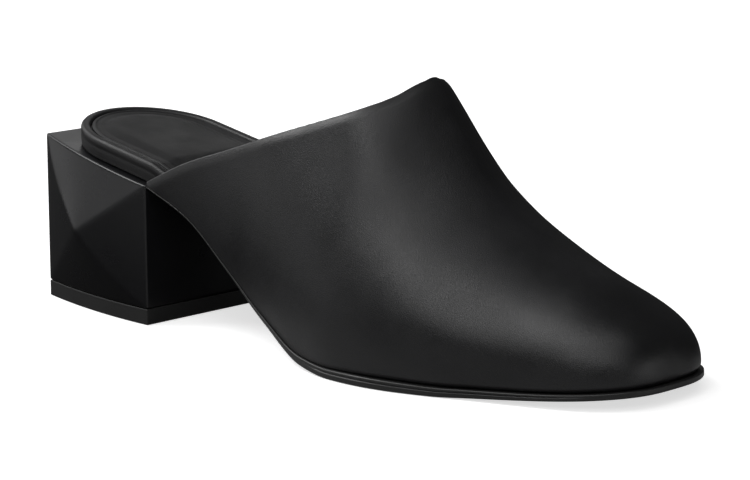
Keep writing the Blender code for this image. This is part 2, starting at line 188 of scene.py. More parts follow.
@dataclass
class Last:
    """The foot form that every piece of the shoe is set against, with the source's own sizes."""

    shoe_length: float = 0.2505
    ball_width: float = 0.0905
    instep_height: float = 0.0915
    clearance: float = 0.0003
    heel_length: float = 0.060
    breast_width: float = 0.060
    heel_back_height: float = 0.0588
    heel_breast_height: float = 0.0486
    sole_thickness: float = 0.0034
    toe_thickness: float = 0.0021
    thinning_shares: Pair = (0.56, 0.92)
    waist_thickness: float = 0.0011
    toe_spring: float = 0.0045
    sole_edge: float = 0.0011
    toe_rounding: float = 0.0255
    toe_squareness: float = 3.0
    toe_side_shift: float = 0.0200
    heel_follow_share: float = 0.20
    cap_length: float = 0.0325
    cap_squareness: float = 2.6
    collar_start_rise: float = 0.0014
    collar_peak_share: float = 0.499
    straight_stations: int = 150
    cap_stations: int = 46
    # share of the forepart: outer and inner reach, arch, spring, sole, ridge's place and height,
    # fullness of the side and of the top, and the side wall's outward lean
    rows: tuple[tuple[float, ...], ...] = (
        (0.000, 0.331, 0.331, 1.000, 0.00, 0.00, 0.02, 1.730, 0.450, 0.45, 0.010),
        (0.105, 0.325, 0.309, 0.830, 0.00, 0.10, 0.04, 1.640, 0.440, 0.44, 0.010),
        (0.210, 0.328, 0.287, 0.526, 0.00, 0.30, 0.08, 1.500, 0.420, 0.43, 0.035),
        (0.315, 0.347, 0.315, 0.234, 0.00, 0.55, 0.11, 1.345, 0.390, 0.42, 0.090),
        (0.420, 0.375, 0.398, 0.030, 0.00, 0.80, 0.13, 1.165, 0.410, 0.43, 0.105),
        (0.499, 0.394, 0.506, 0.000, 0.00, 0.95, 0.15, 1.000, 0.440, 0.33, 0.105),
        (0.540, 0.392, 0.560, 0.000, 0.00, 1.00, 0.16, 0.860, 0.545, 0.21, 0.108),
        (0.600, 0.372, 0.605, 0.000, 0.00, 1.00, 0.17, 0.682, 0.650, 0.20, 0.108),
        (0.690, 0.305, 0.630, 0.000, 0.00, 1.00, 0.18, 0.538, 0.695, 0.20, 0.103),
        (0.760, 0.240, 0.628, 0.000, 0.16, 1.00, 0.19, 0.460, 0.715, 0.20, 0.075),
        (0.840, 0.171, 0.602, 0.000, 0.40, 1.00, 0.20, 0.390, 0.735, 0.24, 0.050),
        (0.920, 0.098, 0.560, 0.000, 0.70, 1.00, 0.21, 0.336, 0.745, 0.37, 0.065),
        (1.000, 0.015, 0.500, 0.000, 1.00, 1.00, 0.21, 0.306, 0.745, 0.51, 0.095),
    )
    # share of the way to the collar's peak: share of the rise on the outer and the inner side
    collar: tuple[Triple, ...] = (
        (0.0, 0.0, 0.0), (0.2, 0.216, 0.246), (0.4, 0.378, 0.475),
        (0.6, 0.546, 0.668), (0.79, 0.704, 0.833), (0.915, 0.818, 0.929),
        (0.975, 0.904, 0.974), (1.0, 1.0, 1.0),
    )

    def __post_init__(self) -> None:
        """Turns the tables' columns into curves, and names the lengths that follow from others."""
        names = ("outer", "inner", "arch", "spring", "sole", "ridge_y", "ridge_z", "side", "top",
                 "lean")
        level = ("arch", "spring", "sole")
        along, *columns = zip(*self.rows)
        self.curves = {name: Curve(along, column, Slope.LEVEL if name in level else Slope.FAIR)
                       for name, column in zip(names, columns)}
        run, *rises = zip(*self.collar)
        self.rises = {side: Curve(run, rise, Slope.LEVEL) for side, rise in zip(Side, rises)}
        self.forepart = self.shoe_length - self.heel_length
        self.peak = self.heel_length + self.collar_peak_share * self.forepart
        self.cap_start = self.shoe_length - self.toe_rounding

    def read(self, name: str, x: Array) -> Array:
        """A column of the table at a length."""
        return self.curves[name]((np.asarray(x, float) - self.heel_length) / self.forepart)

    def reach(self, side: Array, x: Array) -> Array:
        """The outsole's reach from the heel's centre line.

        Args:
            side: -1 for the outer side and +1 for the inner side.
            x: length from the heel's back.

        Returns:
            The reach, always positive.
        """
        side, x = np.broadcast_arrays(np.asarray(side, float), np.asarray(x, float))
        width = np.where(side < 0, self.read("outer", x), self.read("inner", x)) * self.ball_width
        first = np.where(side < 0, self.rows[0][1], self.rows[0][2]) * self.ball_width
        follow = 1 - (x - self.heel_length) / (self.heel_follow_share * self.forepart)
        return width + (self.breast_width / 2 - first) * np.clip(follow, 0.0, 1.0)

    def edge(self, x: Array) -> Array:
        """How far the outsole stands out past the upper."""
        return self.sole_edge * self.read("sole", x)

    def underside(self, x: Array) -> Array:
        """Height of the outsole's underside."""
        arch = self.read("arch", x) * (self.heel_breast_height - self.waist_thickness)
        return arch + self.read("spring", x) * self.toe_spring

    def thickness(self, x: Array) -> Array:
        """Thickness of the outsole, thin at the waist and thinner again at the toe."""
        start, end = (self.heel_length + share * self.forepart for share in self.thinning_shares)
        thinned = (self.sole_thickness - self.toe_thickness) * smooth_step(x, start, end)
        grown = (self.sole_thickness - self.waist_thickness) * self.read("sole", x)
        return self.waist_thickness + grown - thinned

    def seat(self, x: Array) -> Array:
        """Height of what the footbed lies on: the heel's top, then the outsole."""
        x = np.asarray(x, float)
        drop = (self.heel_breast_height - self.heel_back_height) / self.heel_length
        front = np.maximum(x, self.heel_length)
        return np.where(x <= self.heel_length, self.heel_back_height + drop * x,
                        self.underside(front) + self.thickness(front))

    def stations(self, start: float, rounding: float) -> tuple[Array, Array]:
        """Stations from a length to the tip, closer where the toe rounds off.

        Args:
            start: length of the first.
            rounding: length of the rounding.

        Returns:
            The lengths and the shares of the width left at them.
        """
        x = np.linspace(start, self.cap_start, self.straight_stations)
        angle = np.linspace(0.0, math.pi / 2, self.cap_stations + 1)[1:]
        power = 2 / self.toe_squareness
        share = np.maximum(np.cos(angle), 0.0) ** power
        share[-1] = 0.0
        return (np.concatenate([x, self.cap_start + rounding * np.sin(angle) ** power]),
                np.concatenate([np.ones_like(x), share]))

    def toe_share(self, x: Array) -> Array:
        """Share of the upper's width left where the toe rounds off, none at the tip."""
        return rounded_off((x - self.cap_start) / (self.toe_rounding - self.sole_edge),
                           self.toe_squareness)

    def outline(self, side: Array, x: Array, share: Array, inset: Array) -> Array:
        """Plan place of the outline on one side, drawn in by the inset and closed at the toe."""
        full = side * (self.reach(side, x) - inset)
        return self.toe_side_shift + (full - self.toe_side_shift) * share

    def place(self, x: Array, y: Array, z: Array) -> Array:
        """Points in the frame from their length along the shoe, coordinates on the last axis."""
        x, y, z = np.broadcast_arrays(x, y, z)
        return np.stack([x - self.heel_length / 2, y, z], axis=-1)

    def foot(self, side: Array, x: Array) -> Array:
        """Plan place of the upper's lower edge."""
        return self.outline(side, x, self.toe_share(x), self.edge(x))

    def ridge(self, x: Array) -> Array:
        """Plan place of the instep's ridge."""
        ridge = self.read("ridge_y", x) * self.ball_width
        return self.toe_side_shift + (ridge - self.toe_side_shift) * self.toe_share(x)

    def skin(self, side: Array, x: Array, t: Array) -> Array:
        """Points on the outside of the upper.

        Args:
            side: -1 or +1.
            x: length from the heel's back.
            t: place on the section, 0 at the sole and 1 on the ridge.

        Returns:
            Points in the frame.
        """
        low = self.seat(x) + self.clearance
        u = (x - (self.shoe_length - self.cap_length)) / (self.cap_length - self.sole_edge)
        cap = rounded_off(u, self.cap_squareness)
        height = (self.read("ridge_z", x) * self.instep_height - low) * cap
        foot = self.foot(side, x)
        ridge = self.ridge(x)
        lean = side * self.read("lean", x) * height
        corner = ridge + self.read("top", x) * (foot - ridge)
        w0, w1, w2, w3 = (1 - t) ** 3, 3 * (1 - t) ** 2 * t, 3 * (1 - t) * t ** 2, t ** 3
        y = w0 * foot + w1 * (foot + lean) + w2 * corner + w3 * ridge
        z = low + (w1 * self.read("side", x) + w2 + w3) * height
        return self.place(x, y, z)

    def collar_height(self, side: Side, x: Array) -> Array:
        """Height of the collar at a length behind its peak."""
        start = self.heel_breast_height + self.collar_start_rise
        run = (x - self.heel_length) / (self.peak - self.heel_length)
        return start + self.rises[side](run) * (self.instep_height - start)


def lofted(points: Array) -> tuple[Mesh, list[list[bmesh.types.BMVert]]]:
    """A grid whose vertices are moved to the given rows of points.

    Args:
        points: array of rows, columns and coordinates.

    Returns:
        The mesh and its vertices by row and column.
    """
    rows, columns = points.shape[:2]
    bm = bmesh.new()
    bmesh.ops.create_grid(bm, x_segments=rows - 1, y_segments=columns - 1, size=0.5)
    table: list[list[bmesh.types.BMVert]] = [[None] * columns for _ in range(rows)]
    for vert in bm.verts:
        i = round((vert.co.x + 0.5) * (rows - 1))
        j = round((vert.co.y + 0.5) * (columns - 1))
        table[i][j] = vert
        vert.co = points[i, j]
    return bm, table


def cut_cube(cuts: int) -> Mesh:
    """A cube from -1 to 1 whose faces are finely cut."""
    bm = bmesh.new()
    bmesh.ops.create_cube(bm, size=2)
    bmesh.ops.subdivide_edges(bm, edges=bm.edges[:], cuts=cuts, use_grid_fill=True)
    return bm


def round_rims(bm: Mesh, rims: list[bmesh.types.BMEdge], width: float) -> None:
    """Rounds the given edges."""
    bmesh.ops.bevel(bm, geom=rims, offset=width, offset_type="OFFSET", segments=3, profile=0.5,
                    affect="EDGES", material=-1, clamp_overlap=True)


def shown(name: str, data: bpy.types.ID) -> Thing:
    """A new object, linked to the scene."""
    thing = bpy.data.objects.new(name, data)
    bpy.context.scene.collection.objects.link(thing)
    return thing


def aimed(name: str, data: bpy.types.ID, place: Triple | Vector, way: Vector) -> Thing:
    """A new camera or lamp that looks a way from a place."""
    thing = shown(name, data)
    thing.location = place
    thing.rotation_euler = way.to_track_quat("-Z", "Y").to_euler()
    return thing


def piece_from(bm: Mesh, name: str, sharp: float = 60.0) -> Thing:
    """Closes a bmesh's ends and makes it an object with smooth shading.

    Args:
        bm: the mesh, which is freed.
        name: name of the new object.
        sharp: angle in degrees past which an edge is shaded sharp.

    Returns:
        The object, linked to the scene.
    """
    bmesh.ops.remove_doubles(bm, verts=bm.verts, dist=MERGE)
    bmesh.ops.dissolve_degenerate(bm, dist=MERGE, edges=bm.edges)
    open_edges = [edge for edge in bm.edges if edge.is_boundary]
    if open_edges:
        bmesh.ops.holes_fill(bm, edges=open_edges, sides=0)
    bmesh.ops.recalc_face_normals(bm, faces=bm.faces)
    mesh = bpy.data.meshes.new(name)
    bm.to_mesh(mesh)
    bm.free()
    mesh.shade_smooth()
    mesh.set_sharp_from_angle(angle=math.radians(sharp))
    return shown(name, mesh)


def between(start: Array, end: Array, places: Array) -> list[Array]:
    """Rows of points at the given places from one row to another."""
    return [start * (1 - p) + end * p for p in places]


def closed_sheet(name: str, levels: Levels, across: int, top: list[Array]) -> Thing:
    """Makes a closed sheet: outer side up, over the top, inner side down, under the bottom.

    Args:
        name: name of the piece.
        levels: for each height, rising, the outer and the inner points of all stations.
        across: strips that the underside, and a plain top, are cut into.
        top: rows of points across the top, from the outer side, or none for a plain top.

    Returns:
        The piece.
    """
    places = np.linspace(0.0, 1.0, across + 1)[1:-1]
    rows = [outer for outer, _ in levels] + (top or between(*levels[-1], places))
    rows += [inner for _, inner in reversed(levels)] + between(*levels[0][::-1], places)
    bm, _ = lofted(np.stack(rows + rows[:1]))
    return piece_from(bm, name)


class Sockets:
    """Short ways to make, set and join the nodes of one tree."""

    def __init__(self, tree: bpy.types.NodeTree) -> None:
        """Holds the tree."""
        self.tree = tree

    def feed(self, node: Node, inputs: dict[str | int, object]) -> None:
        """Sets or joins a node's inputs.

        Args:
            node: the node.
            inputs: for each input a socket to join or a plain value.
        """
        for key, value in inputs.items():
            if isinstance(value, Socket):
                self.tree.links.new(value, node.inputs[key])
            else:
                node.inputs[key].default_value = value

    def node(self, kind: str, inputs: dict[str | int, object] | None = None,
             **values: object) -> Node:
        """Makes a shader node.

        Args:
            kind: its type, without the first words that all share.
            inputs: what its inputs are fed.
            **values: its plain properties, which are set first.

        Returns:
            The node.
        """
        node = self.tree.nodes.new(f"ShaderNode{kind}")
        for name, value in values.items():
            setattr(node, name, value)
        self.feed(node, inputs or {})
        return node

    def noise(self, vector: Socket, scale: float, detail: float, output: str = "Fac") -> Socket:
        """A noise texture read at a vector."""
        node = self.node("TexNoise", {"Vector": vector, "Scale": scale, "Detail": detail})
        return node.outputs[output]

    def ranged(self, value: Socket, ins: Pair, outs: Pair) -> Socket:
        """A value moved from one range to another, clamped."""
        node = self.node("MapRange", {"Value": value, "From Min": ins[0], "From Max": ins[1],
                                      "To Min": outs[0], "To Max": outs[1]})
        return node.outputs["Result"]

    def maths(self, operation: str, first: Socket | float, second: Socket | float) -> Socket:
        """One step of arithmetic on sockets or numbers."""
        return self.node("Math", {0: first, 1: second}, operation=operation).outputs[0]

    def bump(self, height: Socket, distance: float, **under: Socket) -> Socket:
        """A normal from a height, over another Normal if one is given."""
        node = self.node("Bump", {"Distance": distance, "Height": height, **under})
        return node.outputs["Normal"]


def new_group(name: str, inputs: dict[str, float | Triple],
              outputs: tuple[str, ...]) -> tuple[Sockets, Node, Node]:
    """An empty shader node group that reads a vector.

    Args:
        name: name of the group.
        inputs: name and default of each further input.
        outputs: names of the numbers that it puts out.

    Returns:
        The group's sockets helper, its input node and its output node.
    """
    tree = bpy.data.node_groups.new(name, "ShaderNodeTree")
    for key, default in {"Vector": (0.0, 0.0, 0.0), **inputs}.items():
        kind = "NodeSocketVector" if isinstance(default, tuple) else "NodeSocketFloat"
        socket = tree.interface.new_socket(name=key, in_out="INPUT", socket_type=kind)
        socket.default_value = default
    for key in outputs:
        tree.interface.new_socket(name=key, in_out="OUTPUT", socket_type="NodeSocketFloat")
    return Sockets(tree), tree.nodes.new("NodeGroupInput"), tree.nodes.new("NodeGroupOutput")


@cache
def grain_group() -> bpy.types.NodeTree:
    """Leather grain: fine cells with pores, and a slow change of tone, built once.

    Returns:
        A group that puts out Height, Tone and Polish, each from 0 to 1.
    """
    sockets, into, out = new_group("leather_grain", {"Cell Size": 0.0006, "Unevenness": 0.25},
                                   ("Height", "Tone", "Polish"))
    vector = into.outputs["Vector"]
    warp = sockets.noise(vector, *WARP_NOISE, output="Color")
    warped = sockets.node("VectorMath", {0: warp, 1: (CELL_WARP,) * 3, 2: vector},
                          operation="MULTIPLY_ADD").outputs[0]
    scale = sockets.maths("DIVIDE", 1.0, into.outputs["Cell Size"])
    cells = sockets.node("TexVoronoi", {"Vector": warped, "Scale": scale},
                         feature="DISTANCE_TO_EDGE")
    plump = sockets.ranged(cells.outputs["Distance"], (0.0, 0.25), (0.0, 1.0))
    pores = sockets.noise(vector, *PORE_NOISE)
    uneven = sockets.maths("MULTIPLY", pores, into.outputs["Unevenness"])
    tone, polish = (sockets.ranged(sockets.noise(vector, *noise), (0.3, 0.7), (0.0, 1.0))
                    for noise in (TONE_NOISE, POLISH_NOISE))
    sockets.feed(out, {"Height": sockets.maths("ADD", plump, uneven), "Tone": tone,
                       "Polish": polish})
    return sockets.tree


@cache
def crease_group() -> bpy.types.NodeTree:
    """Fine parallel creases that fade out away from one place, built once.

    Returns:
        A group that puts out Height, which is 0 where there is no crease.
    """
    sockets, into, out = new_group("fine_creases", {"Reach": 0.03, "Place": (0.0, 0.0, 0.0)},
                                   ("Height",))
    vector = into.outputs["Vector"]
    turned = sockets.node("Mapping", {"Vector": vector, "Rotation": (0.0, math.radians(38), 0.0),
                                      "Scale": (1.0, 6.0, 9.0)}, vector_type="TEXTURE")
    ribs = sockets.noise(turned.outputs["Vector"], *CREASE_NOISE)
    away = sockets.node("VectorMath", {0: vector, 1: into.outputs["Place"]}, operation="DISTANCE")
    share = sockets.maths("DIVIDE", away.outputs["Value"], into.outputs["Reach"])
    near = sockets.ranged(share, (0.2, 1.0), (1.0, 0.0))
    ridge = sockets.ranged(ribs, (0.35, 0.65), (0.0, 1.0))
    sockets.feed(out, {"Height": sockets.maths("MULTIPLY", ridge, near)})
    return sockets.tree


def new_material(name: str) -> tuple[bpy.types.Material, Sockets, Node]:
    """A node material, its sockets helper and its Principled shader."""
    material = bpy.data.materials.new(name)
    material.use_nodes = True
    return material, Sockets(material.node_tree), material.node_tree.nodes["Principled BSDF"]


@dataclass(frozen=True)
class Leather:
    """A dyed leather with its own tone, gloss and depth of grain."""

    name: str
    colour: Triple
    roughness: float = 0.42
    tone_swing: float = 0.25
    polish_swing: float = 0.06
    cell: float = 0.0006
    depth: float = 0.00002
    crease_place: Triple | None = None
    crease_reach: float = 0.045
    crease_depth: float = 0.00003
    specular: float = 0.5

    def material(self) -> bpy.types.Material:
        """Builds the material.

        Returns:
            The material, whose grain reads Object coordinates.
        """
        material, sockets, shader = new_material(self.name)
        place = sockets.node("TexCoord").outputs["Object"]
        grain = sockets.node("Group", node_tree=grain_group())
        sockets.feed(grain, {"Vector": place, "Cell Size": self.cell})
        dark, light = ((*(c * (1 + swing) for c in self.colour), 1.0)
                       for swing in (-self.tone_swing, self.tone_swing))
        mix = sockets.node("Mix", {"Factor": grain.outputs["Tone"], "A": dark, "B": light},
                           data_type="RGBA")
        gloss = (self.roughness - self.polish_swing, self.roughness + self.polish_swing)
        normal = sockets.bump(grain.outputs["Height"], self.depth)
        if self.crease_place:
            creases = sockets.node("Group", node_tree=crease_group())
            sockets.feed(creases, {"Vector": place, "Place": self.crease_place,
                                   "Reach": self.crease_reach})
            normal = sockets.bump(creases.outputs["Height"], self.crease_depth, Normal=normal)
        sockets.feed(shader, {
            "Base Color": mix.outputs["Result"],
            "Roughness": sockets.ranged(grain.outputs["Polish"], (0.0, 1.0), gloss),
            "Specular IOR Level": self.specular, "Normal": normal,
        })
        return material


@dataclass(frozen=True)
class Moulded:
    """A moulded or lacquered surface with a faint unevenness."""

    name: str
    colour: Triple
    roughness: float
    ripple: float = 0.00001
    ripple_scale: float = 400.0
    swing: float = 0.04
    swing_scale: float = 60.0

    def material(self) -> bpy.types.Material:
        """Builds the material.

        Returns:
            The material, whose ripple reads Object coordinates.
        """
        material, sockets, shader = new_material(self.name)
        place = sockets.node("TexCoord").outputs["Object"]
        gloss = (self.roughness - self.swing, self.roughness + self.swing)
        slow = sockets.noise(place, self.swing_scale, 3.0)
        ripple = sockets.noise(place, self.ripple_scale, 2.0)
        sockets.feed(shader, {
            "Base Color": (*self.colour, 1.0),
            "Roughness": sockets.ranged(slow, (0.3, 0.7), gloss),
            "Normal": sockets.bump(ripple, self.ripple),
        })
        return material


class Dressed:
    """What all pieces share: each stands for one solid, which it hides, and takes its own finish.
    """

    node: str
    slot: str
    finish: Leather | Moulded

    def dress(self, piece: Thing) -> None:
        """Gives a piece its finish, its body and the solid it stands for.

        Args:
            piece: what build made.
        """
        piece.data.materials.append(self.finish.material())
        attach(piece, BODY)
        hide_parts(self.node)
        LOG.info("%s: %d faces", piece.name, len(piece.data.polygons))


@dataclass(frozen=True)
class Fold:
    """A soft ridge or trough along a line drawn on the upper."""

    rise: float
    width: float
    # the line's points: length along the shoe and place on the section
    line: tuple[Pair, ...]
    side: Side = Side.OUTER
    steps: int = 60
    fade_power: float = 0.7

    def lift(self, last: Last, points: Array) -> Array:
        """Works out how far the fold moves the skin.

        Args:
            last: the foot form.
            points: points of the skin.

        Returns:
            How far each point moves outward.
        """
        marks = np.array(self.line)
        fine = np.linspace(0.0, len(marks) - 1.0, self.steps)
        x, t = (np.interp(fine, np.arange(len(marks)), column) for column in marks.T)
        gaps = np.linalg.norm(points[..., None, :] - last.skin(self.side.value, x, t), axis=-1)
        fade = np.sin(math.pi * fine / fine[-1]) ** self.fade_power
        near = np.exp(-(gaps.min(axis=-1) / self.width) ** 2)
        return self.rise * fade[gaps.argmin(axis=-1)] * near


@dataclass
class Upper(Dressed):
    """The vamp: one skin with a folded collar edge, drawn in at the sole."""

    last: Last
    node: str = "upper"
    slot: str = "black_calf"
    wall: float = 0.0015
    rows: int = 92
    columns: int = 264
    row_ease: float = 0.6
    collar_samples: int = 900
    feather_samples: int = 3000
    section_samples: int = 500
    edge_steps: int = 8
    turn_under: float = 0.0009
    turn_height: float = 0.0026
    turn_shares: Pair = (0.25, 0.50)
    collar_roll: float = 0.0005
    collar_band: float = 0.0032
    folds: tuple[Fold, ...] = (
        Fold(0.00055, 0.0065,
             ((0.172, 0.34), (0.184, 0.25), (0.200, 0.21), (0.220, 0.21), (0.236, 0.26))),
        Fold(-0.00035, 0.0050, ((0.166, 0.16), (0.186, 0.10), (0.210, 0.09), (0.232, 0.12))),
        Fold(0.00045, 0.0080, ((0.138, 0.70), (0.148, 0.62), (0.159, 0.58), (0.174, 0.52))),
        Fold(-0.00050, 0.0085, ((0.130, 0.52), (0.143, 0.47), (0.154, 0.43), (0.168, 0.38))),
        Fold(-0.00022, 0.0050, ((0.160, 0.50), (0.172, 0.62), (0.180, 0.78)), Side.INNER),
        Fold(-0.00016, 0.0040, ((0.136, 0.28), (0.150, 0.42), (0.162, 0.54)), Side.INNER),
    )
    finish: Leather = Leather("black_calf_skin", (0.0100, 0.0100, 0.0108), 0.35,
                              crease_place=(0.130, -0.004, 0.074), crease_reach=0.032,
                              crease_depth=0.000024, cell=0.0005)
    lining: Leather = Leather("black_lining", (0.012, 0.012, 0.0125), 0.55, cell=0.0008)

    def _evenly(self, side: Side, x: Array, t: Array) -> tuple[Array, Array]:
        """Spaces a line on one side of the skin evenly, with a point for each column there."""
        run = run_of(self.last.skin(side.value, x, t))
        even = np.linspace(0.0, run[-1], self.columns // 2 + 1)
        return np.interp(even, run, x), np.interp(even, run, t)

    def _collar(self, side: Side) -> tuple[Array, Array]:
        """The collar on one side, from the breast to the peak.

        Returns:
            Lengths along the shoe and places on the section.
        """
        last = self.last
        x = crowded(last.heel_length + last.clearance, last.peak, self.collar_samples, 2)
        target = last.collar_height(side, x) - self.wall / 2
        low, high = np.zeros_like(x), np.ones_like(x)
        for _ in range(BISECTIONS):
            middle = (low + high) / 2
            below = last.skin(side.value, x, middle)[:, 2] < target
            low, high = np.where(below, middle, low), np.where(below, high, middle)
        high[-1] = 1.0
        return self._evenly(side, x, high)

    def _on_plan(self, plan: Array) -> Array:
        """Points on the skin over places in the plan of section places."""
        x, y = plan[..., 0], plan[..., 1]
        ridge = self.last.ridge(x)
        sign = np.where(y < ridge, -1.0, 1.0)
        span = self.last.foot(sign, x) - ridge
        flat = np.abs(span) < NO_SPAN
        t = np.where(flat, 0.0, 1 - (y - ridge) / np.where(flat, 1.0, span))
        return self.last.skin(sign, x, np.clip(t, 0.0, 1.0))

    def outside(self) -> Array:
        """Rows of points on the outside, from the collar to the sole.

        Returns:
            Array of rows, columns and coordinates; columns run from outer breast to inner breast.
        """
        last = self.last
        start, tip = last.heel_length + last.clearance, last.shoe_length - last.sole_edge
        lower = crowded(start, tip, self.feather_samples, 3)
        tops, feet = [], []
        for side in Side:
            x, t = self._collar(side)
            foot = last.foot(side.value, x)
            tops.append(np.stack([x, foot + (last.ridge(x) - foot) * t], axis=-1))
            x, _ = self._evenly(side, lower, np.zeros_like(lower))
            feet.append(np.stack([x, last.foot(side.value, x)], axis=-1))
        top, foot = (np.concatenate([outer, inner[::-1][1:]]) for outer, inner in (tops, feet))
        fine = np.linspace(0.0, 1.0, self.section_samples)
        down = fine[:, None, None]
        run = run_of(self._on_plan(top * (1 - down) + foot * down))
        wanted = eased(self.rows, self.row_ease)
        down = np.stack([np.interp(wanted * length[-1], length, fine) for length in run.T], axis=1)
        down = down[..., None]
        return self._on_plan(top * (1 - down) + foot * down)

    def _outward(self, points: Array) -> Array:
        """Unit normals of the grid of points, away from the foot."""
        normals = unit(np.cross(np.gradient(points, axis=1), np.gradient(points, axis=0)))
        return normals * math.copysign(1.0, normals[self.rows // 2, self.columns // 2, 2])

    def _drawn_in(self, points: Array) -> Array:
        """How far points go inward where the skin is lasted under and over the folded collar."""
        under = np.clip(1 - run_of(points[::-1])[::-1] / self.turn_height, 0.0, 1.0) ** 2
        along = (points[-1, :, 0] - self.last.heel_length) / self.last.forepart
        under *= smooth_step(along, *self.turn_shares)
        over = np.clip(1 - run_of(points) / self.collar_band, 0.0, 1.0) ** 2
        return (under * self.turn_under + over * self.collar_roll)[..., None]

    def build(self) -> Thing:
        """Builds the outside, the rounded collar edge and the inside as one closed skin.

        Returns:
            The piece, whose lining takes the second material.
        """
        outer = self.outside()
        lift = sum(fold.lift(self.last, outer) for fold in self.folds)
        outer = outer + self._outward(outer) * lift[..., None]
        normals = self._outward(outer)
        outer = outer - normals * self._drawn_in(outer)
        radius = self.wall / 2
        away = unit(np.cross(np.gradient(outer[0], axis=0), normals[0]))
        down = np.sum(away * (outer[4] - outer[0]), axis=-1, keepdims=True)
        away = np.where(down > 0, -away, away) * radius
        out = normals[0] * radius
        angles = [math.pi * k / self.edge_steps for k in range(1, self.edge_steps)]
        edge = [outer[0] - out + out * math.cos(a) + away * math.sin(a) for a in angles]
        inner = outer - normals * self.wall
        bm, table = lofted(np.concatenate([outer[::-1], np.stack(edge), inner, outer[-1:]]))
        lined = {vert for row in table[self.rows + self.edge_steps:-1] for vert in row}
        for face in bm.faces:
            face.material_index = int(lined.issuperset(face.verts))
        return piece_from(bm, "skin_upper", sharp=50)

    def dress(self, piece: Thing) -> None:
        """Gives the skin its calf outside and its lining inside."""
        super().dress(piece)
        piece.data.materials.append(self.lining.material())


@dataclass
class Outsole(Dressed):
    """The sole: a thin waist, a bead and a groove round the forepart's edge."""

    last: Last
    node: str = "outsole"
    slot: str = "sole_leather"
    across: int = 10
    # share of the edge lost, share of the height, and how much of the groove's depth
    profile: tuple[Triple, ...] = (
        (0.44, 0.0, 0.0), (0.22, 0.03, 0.0), (0.08, 0.09, 0.0), (0.01, 0.17, 0.0),
        (0.0, 0.3, 0.0), (0.0, 0.46, 0.0), (0.01, 0.54, 0.15), (0.02, 0.585, 0.7),
        (0.03, 0.62, 1.0), (0.03, 0.655, 0.7), (0.03, 0.7, 0.15), (0.03, 0.78, 0.0),
        (0.06, 0.86, 0.0), (0.16, 0.93, 0.0), (0.32, 0.98, 0.0), (0.52, 1.0, 0.0),
    )
    groove_depth: float = 0.30
    groove_shares: tuple[float, float, float, float] = (0.36, 0.52, 0.84, 0.96)
    least_edge: float = 0.35
    waist_bevel: float = 0.0012
    waist_bevel_top: float = 0.75
    waist_shares: Pair = (0.30, 0.48)
    finish: Leather = Leather("black_sole_leather", (0.012, 0.012, 0.012), 0.38, tone_swing=0.3,
                              cell=0.0009, depth=0.00001)

    def build(self) -> Thing:
        """Builds the sole as one closed sheet."""
        last = self.last
        x, share = last.stations(last.heel_length + last.clearance, last.toe_rounding)
        along = (x - last.heel_length) / last.forepart
        first, full, fading, gone = self.groove_shares
        groove = smooth_step(along, first, full) - smooth_step(along, fading, gone)
        edge = np.maximum(last.edge(x), self.least_edge * last.sole_edge)
        waist = 1 - smooth_step(along, *self.waist_shares)
        levels = []
        for lost, height, deep in self.profile:
            inset = (lost + deep * self.groove_depth * groove) * edge
            inset = inset + self.waist_bevel * waist * max(0.0, self.waist_bevel_top - height)
            drawn = x - inset * np.sqrt(1 - share * share)
            z = last.underside(drawn) + height * last.thickness(drawn)
            levels.append(tuple(last.place(drawn, last.outline(side.value, x, share, inset), z)
                                for side in Side))
        return closed_sheet("dressed_outsole", levels, self.across, [])


